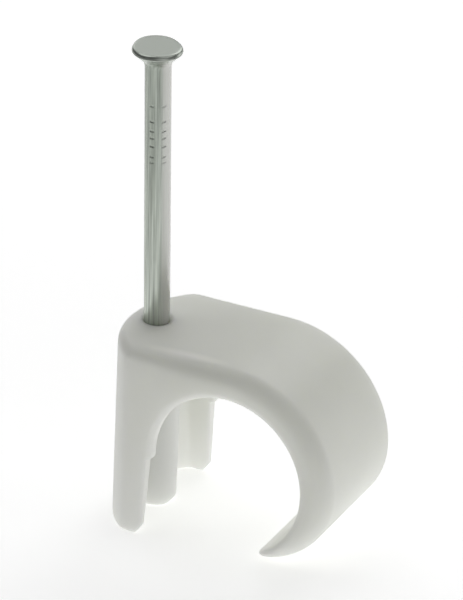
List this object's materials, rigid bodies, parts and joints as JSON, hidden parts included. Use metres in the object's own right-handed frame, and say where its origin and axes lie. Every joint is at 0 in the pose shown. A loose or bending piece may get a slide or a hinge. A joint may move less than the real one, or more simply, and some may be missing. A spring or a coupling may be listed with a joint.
{
  "type": "nail-in cable clip",
  "caption": "Round moulded cable clip with an open hook and a hollow leg, holding its steel wall nail upright in a boss beside the cable seat.",
  "frame": {"origin": "the nail's axis, at the plane of the foot that lies against the wall", "axes": "+Z along the nail from its point to its head, away from the wall; +X from the nail towards the hook; Y along the cable"},
  "size_m": [0.0341, 0.0196, 0.0638],
  "materials": {
    "clip_plastic": "satin moulded polyolefin",
    "nail_steel": "zinc-plated wire"
  },
  "bodies": {
    "root": {"clip_body": "clip_plastic", "nail": "nail_steel"}
  },
  "joints": []
}
